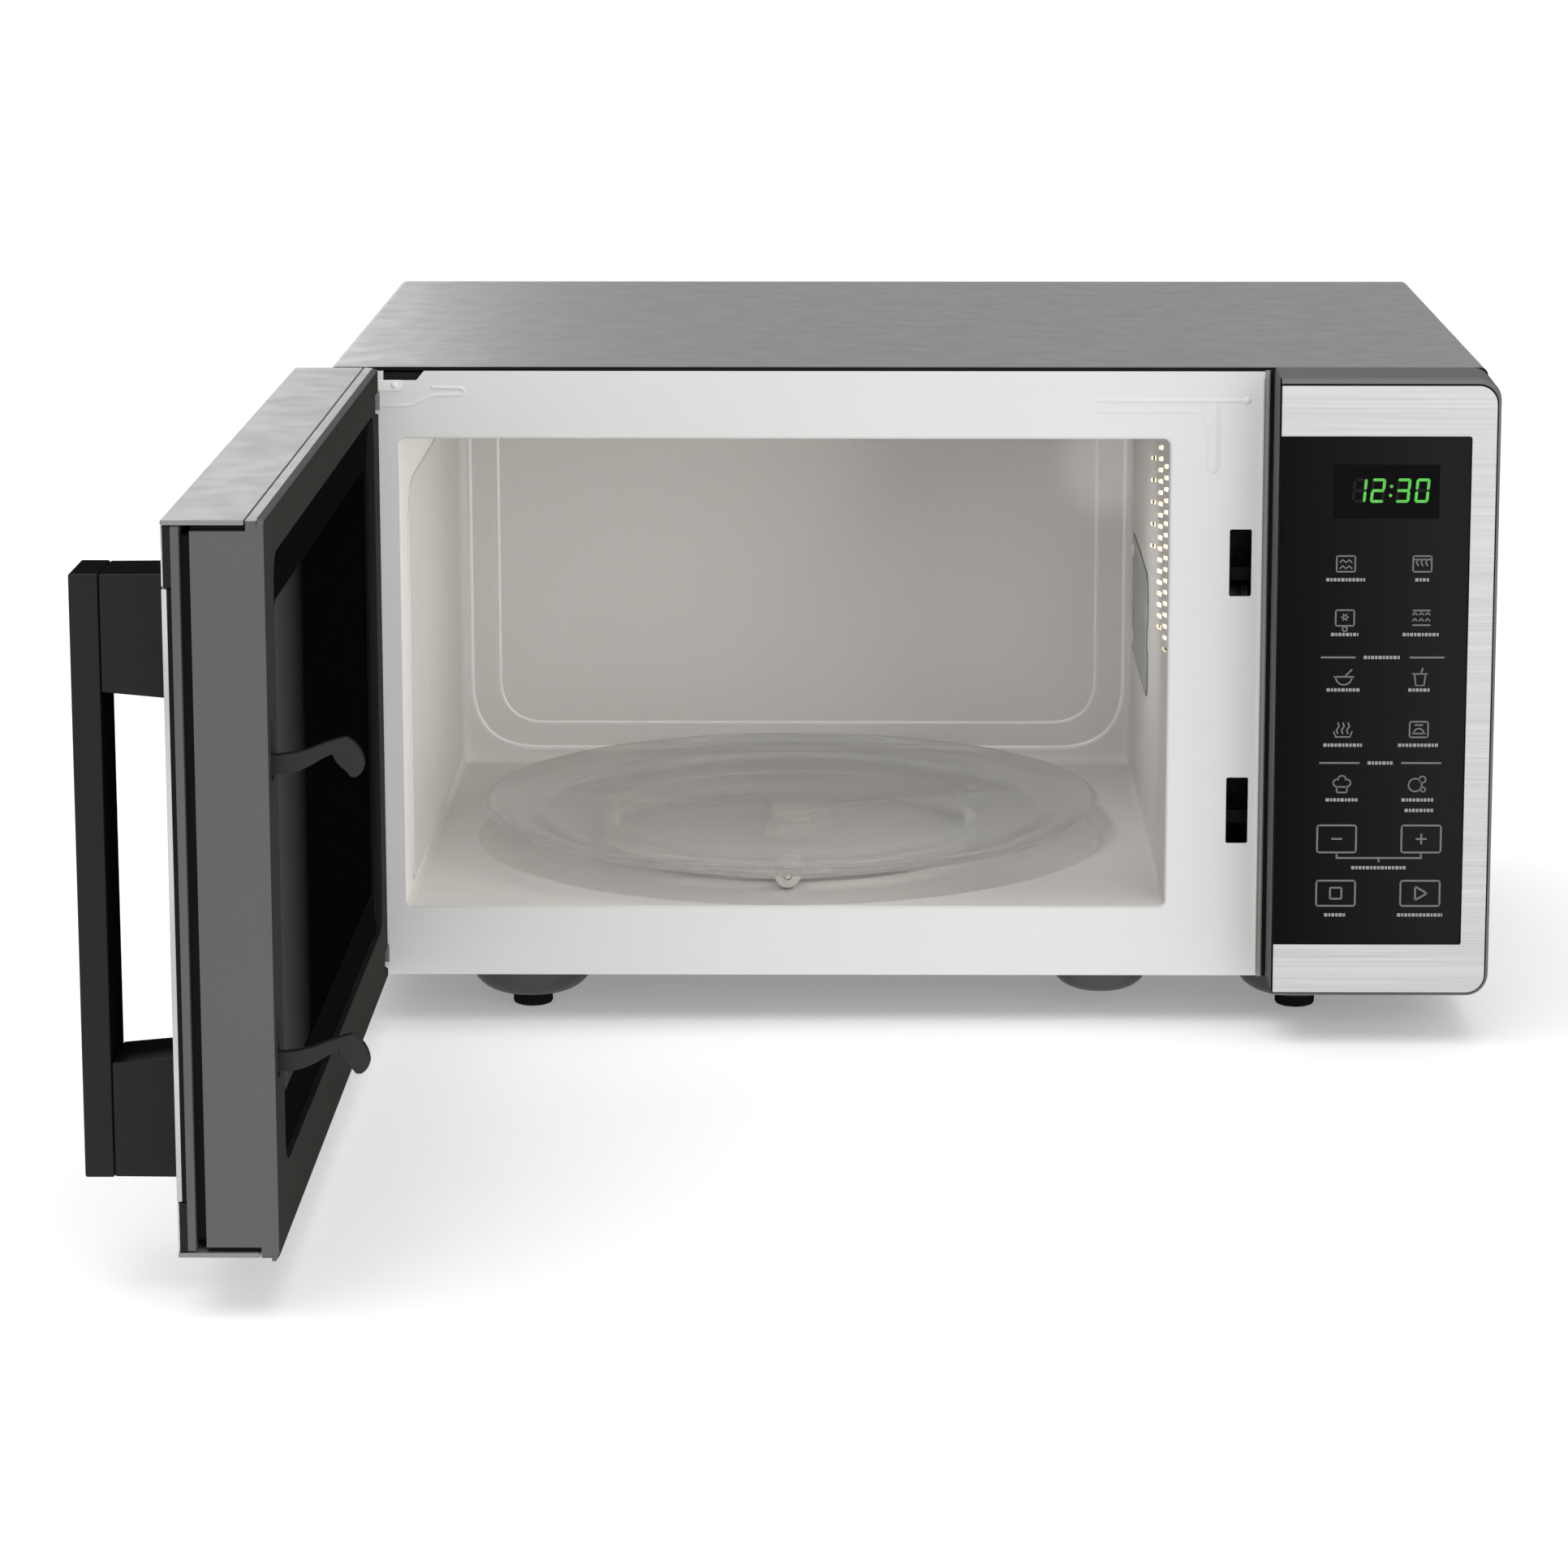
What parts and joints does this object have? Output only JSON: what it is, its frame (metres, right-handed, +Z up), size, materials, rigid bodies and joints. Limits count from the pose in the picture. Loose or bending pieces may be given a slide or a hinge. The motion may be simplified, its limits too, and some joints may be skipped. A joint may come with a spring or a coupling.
{
  "type": "microwave oven",
  "caption": "Countertop microwave oven with grill: open cavity with glass turntable, side-hinged door with latch hooks and bar handle, touch control panel.",
  "frame": {"origin": "on the table, under the middle of the bounding box with the door open 90 degrees", "axes": "+Z up, front of the oven towards -Y, control panel and +X on the right as seen from the front"},
  "size_m": [0.5658, 0.7538, 0.298],
  "materials": {
    "silver_paint": "satin metallic silver",
    "white_enamel": "semi-gloss white",
    "cavity_enamel": "semi-gloss warm light grey",
    "zinc_steel": "zinc plated",
    "brushed_steel": "horizontal brush",
    "black_glass": "glossy black, opaque printed glass",
    "black_plastic": "satin",
    "dark_plastic": "satin",
    "grey_plastic": "satin metallic grey",
    "pale_plastic": "satin",
    "clear_glass": "clear",
    "rubber": "matt",
    "mica": "matt grey-green sheet",
    "copper": "enamelled winding wire",
    "laminated_iron": "stacked laminations",
    "aluminium": "satin",
    "circuit_board": "soldermask",
    "white_ceramic": "matt",
    "heater_quartz": "frosted quartz",
    "display_digits": "lit green"
  },
  "bodies": {
    "cabinet": {"front_frame": "white_enamel", "outer_cover": "silver_paint", "base_plate": "zinc_steel", "rear_panel": "zinc_steel", "cord_gland": "black_plastic", "foot_front_left": "rubber", "foot_front_right": "rubber", "foot_rear_left": "rubber", "foot_rear_right": "rubber", "cavity_floor": "cavity_enamel", "cavity_ceiling": "cavity_enamel", "cavity_left_wall": "cavity_enamel", "cavity_right_wall": "cavity_enamel", "cavity_back_wall": "cavity_enamel", "mica_cover": "mica", "waveguide": "zinc_steel", "grill_reflector": "aluminium", "grill_element_front": "heater_quartz", "grill_element_rear": "heater_quartz", "magnetron": "aluminium", "transformer_core": "laminated_iron", "transformer_windings": "copper", "hv_capacitor": "aluminium", "hv_diode": "black_plastic", "noise_filter": "circuit_board", "lamp_holder": "white_ceramic", "lamp_bulb": "clear_glass", "fan_shroud": "pale_plastic", "fan_motor": "laminated_iron", "latch_board": "pale_plastic", "primary_switch": "black_plastic", "secondary_switch": "black_plastic", "monitor_switch": "black_plastic", "panel_housing": "dark_plastic", "panel_bezel": "brushed_steel", "panel_glass": "black_glass", "display_module": "display_digits", "control_board": "circuit_board", "turntable_motor": "zinc_steel", "hinge_upper": "zinc_steel", "hinge_lower": "zinc_steel"},
    "door": {"door_frame": "grey_plastic", "door_inner_cover": "black_plastic", "door_window": "black_glass", "door_mesh": "zinc_steel", "door_choke": "zinc_steel", "door_outer_frame": "grey_plastic", "door_glass": "black_glass", "door_trim_top": "brushed_steel", "door_trim_bottom": "brushed_steel", "handle": "dark_plastic", "latch_spring": "zinc_steel"},
    "latch": {"latch_hooks": "black_plastic"},
    "turntable": {"glass_tray": "clear_glass", "drive_coupler": "pale_plastic"},
    "roller_ring": {"roller_ring": "pale_plastic"},
    "roller_1": {"roller_wheel_1": "pale_plastic"},
    "roller_2": {"roller_wheel_2": "pale_plastic"},
    "roller_3": {"roller_wheel_3": "pale_plastic"},
    "fan": {"fan_blade": "pale_plastic"}
  },
  "joints": [
    {"name": "door_swing", "type": "hinge", "parent": "cabinet", "child": "door", "pos_m": [-0.2197, 0.0284, 0.16], "axis": [0, 0, -1], "range_deg": [-90, 5]},
    {"name": "latch_lift", "type": "slide", "parent": "door", "child": "latch", "axis": [0, 0, 1], "range_m": [0, 0.005], "stiffness_N_per_m": 300, "springref_m": -0.003, "deforming": ["latch_spring"]},
    {"name": "turntable_spin", "type": "hinge", "parent": "cabinet", "child": "turntable", "pos_m": [-0.02915, 0.1939, 0.06], "axis": [0, 0, 1], "continuous": true},
    {"name": "roller_ring_spin", "type": "hinge", "parent": "cabinet", "child": "roller_ring", "pos_m": [-0.02915, 0.1939, 0.056], "axis": [0, 0, 1], "continuous": true},
    {"name": "roller_1_spin", "type": "hinge", "parent": "roller_ring", "child": "roller_1", "pos_m": [0.05745, 0.2439, 0.056], "axis": [0.866, 0.5, 0], "continuous": true},
    {"name": "roller_2_spin", "type": "hinge", "parent": "roller_ring", "child": "roller_2", "pos_m": [-0.11575, 0.2439, 0.056], "axis": [-0.866, 0.5, 0], "continuous": true},
    {"name": "roller_3_spin", "type": "hinge", "parent": "roller_ring", "child": "roller_3", "pos_m": [-0.02915, 0.0939, 0.056], "axis": [0, -1, 0], "continuous": true},
    {"name": "fan_spin", "type": "hinge", "parent": "cabinet", "child": "fan", "pos_m": [0.2133, 0.3429, 0.19], "axis": [0, 1, 0], "continuous": true}
  ],
  "couplings": [
    {"joint": "roller_ring_spin", "follows": "turntable_spin", "ratio": 0.5},
    {"joint": "roller_1_spin", "follows": "turntable_spin", "ratio": -8.3333},
    {"joint": "roller_2_spin", "follows": "turntable_spin", "ratio": -8.3333},
    {"joint": "roller_3_spin", "follows": "turntable_spin", "ratio": -8.3333}
  ]
}
